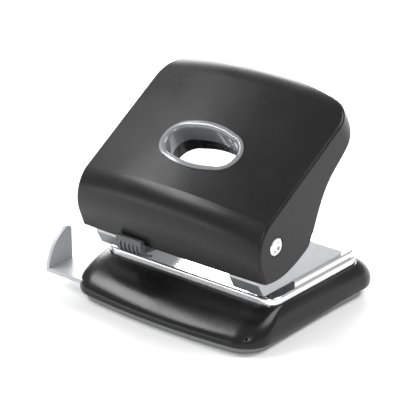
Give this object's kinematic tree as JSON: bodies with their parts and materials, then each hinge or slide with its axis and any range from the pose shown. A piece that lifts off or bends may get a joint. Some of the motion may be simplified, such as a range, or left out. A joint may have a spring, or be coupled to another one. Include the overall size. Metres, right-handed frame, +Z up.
{
  "type": "hole punch",
  "caption": "Desk hole punch with a crowned lever handle, finger hole, paired spring-returned punch heads, sliding paper guide and hinged chip tray.",
  "frame": {"origin": "on the table, on the chip tray's flat underside, under the middle of the punch and in its plane of symmetry", "axes": "+X to the user's right along the line through both punched holes, +Y to the back (the side the sheet stop and the handle's free end are on), +Z up"},
  "size_m": [0.128, 0.1038, 0.105],
  "materials": {
    "black_plastic": "moulded, satin, fine grain",
    "plated_steel": "pressed sheet, bright plated",
    "head_steel": "folded sheet, fine matt grain",
    "tool_steel": "hardened and ground",
    "axle_steel": "turned, bright",
    "spring_steel": "oiled spring steel",
    "zinc_screw": "zinc plated",
    "grey_gloss_plastic": "moulded, glossy",
    "grey_plastic": "moulded, satin",
    "light_plastic": "moulded, smooth",
    "tray_rubber": "soft moulded, matt"
  },
  "bodies": {
    "base": {"base_shell": "black_plastic", "base_plate": "plated_steel", "plate_screws": "zinc_screw", "left_die": "tool_steel", "right_die": "tool_steel", "left_head": "head_steel", "right_head": "head_steel", "left_pin_guide": "tool_steel", "right_pin_guide": "tool_steel", "head_rivets": "zinc_screw", "hinge_axle": "axle_steel", "guide_spring": "spring_steel"},
    "handle": {"handle_shell": "black_plastic", "handle_grommet": "grey_gloss_plastic", "lever_frame": "head_steel", "handle_screws": "zinc_screw"},
    "left_pin": {"left_punch_pin": "tool_steel", "left_clip": "spring_steel", "left_spring": "spring_steel"},
    "right_pin": {"right_punch_pin": "tool_steel", "right_clip": "spring_steel", "right_spring": "spring_steel"},
    "lock": {"lock_slider": "grey_plastic"},
    "tray": {"chip_tray": "tray_rubber"},
    "guide": {"paper_guide": "light_plastic"}
  },
  "joints": [
    {"name": "handle_hinge", "type": "hinge", "parent": "base", "child": "handle", "pos_m": [0, -0.0322, 0.0505], "axis": [-1, 0, 0], "range_deg": [0, 31.8], "stiffness_Nm_per_rad": 1.6, "springref_deg": -17.19},
    {"name": "left_pin_slide", "type": "slide", "parent": "base", "child": "left_pin", "axis": [0, 0, -1], "range_m": [0, 0.00471], "deforming": ["left_spring"]},
    {"name": "right_pin_slide", "type": "slide", "parent": "base", "child": "right_pin", "axis": [0, 0, -1], "range_m": [0, 0.00471], "deforming": ["right_spring"]},
    {"name": "lock_slide", "type": "slide", "parent": "handle", "child": "lock", "axis": [-1, 0, 0], "range_m": [0, 0.006]},
    {"name": "tray_hinge", "type": "hinge", "parent": "base", "child": "tray", "pos_m": [0, 0.0476, 0.0042], "axis": [1, 0, 0], "range_deg": [0, 60]},
    {"name": "guide_slide", "type": "slide", "parent": "base", "child": "guide", "axis": [-1, 0, 0], "range_m": [-0.01, 0.077]}
  ],
  "couplings": [
    {"joint": "left_pin_slide", "follows": "handle_hinge", "m_per_rad": 0.008391},
    {"joint": "right_pin_slide", "follows": "handle_hinge", "m_per_rad": 0.008391}
  ]
}
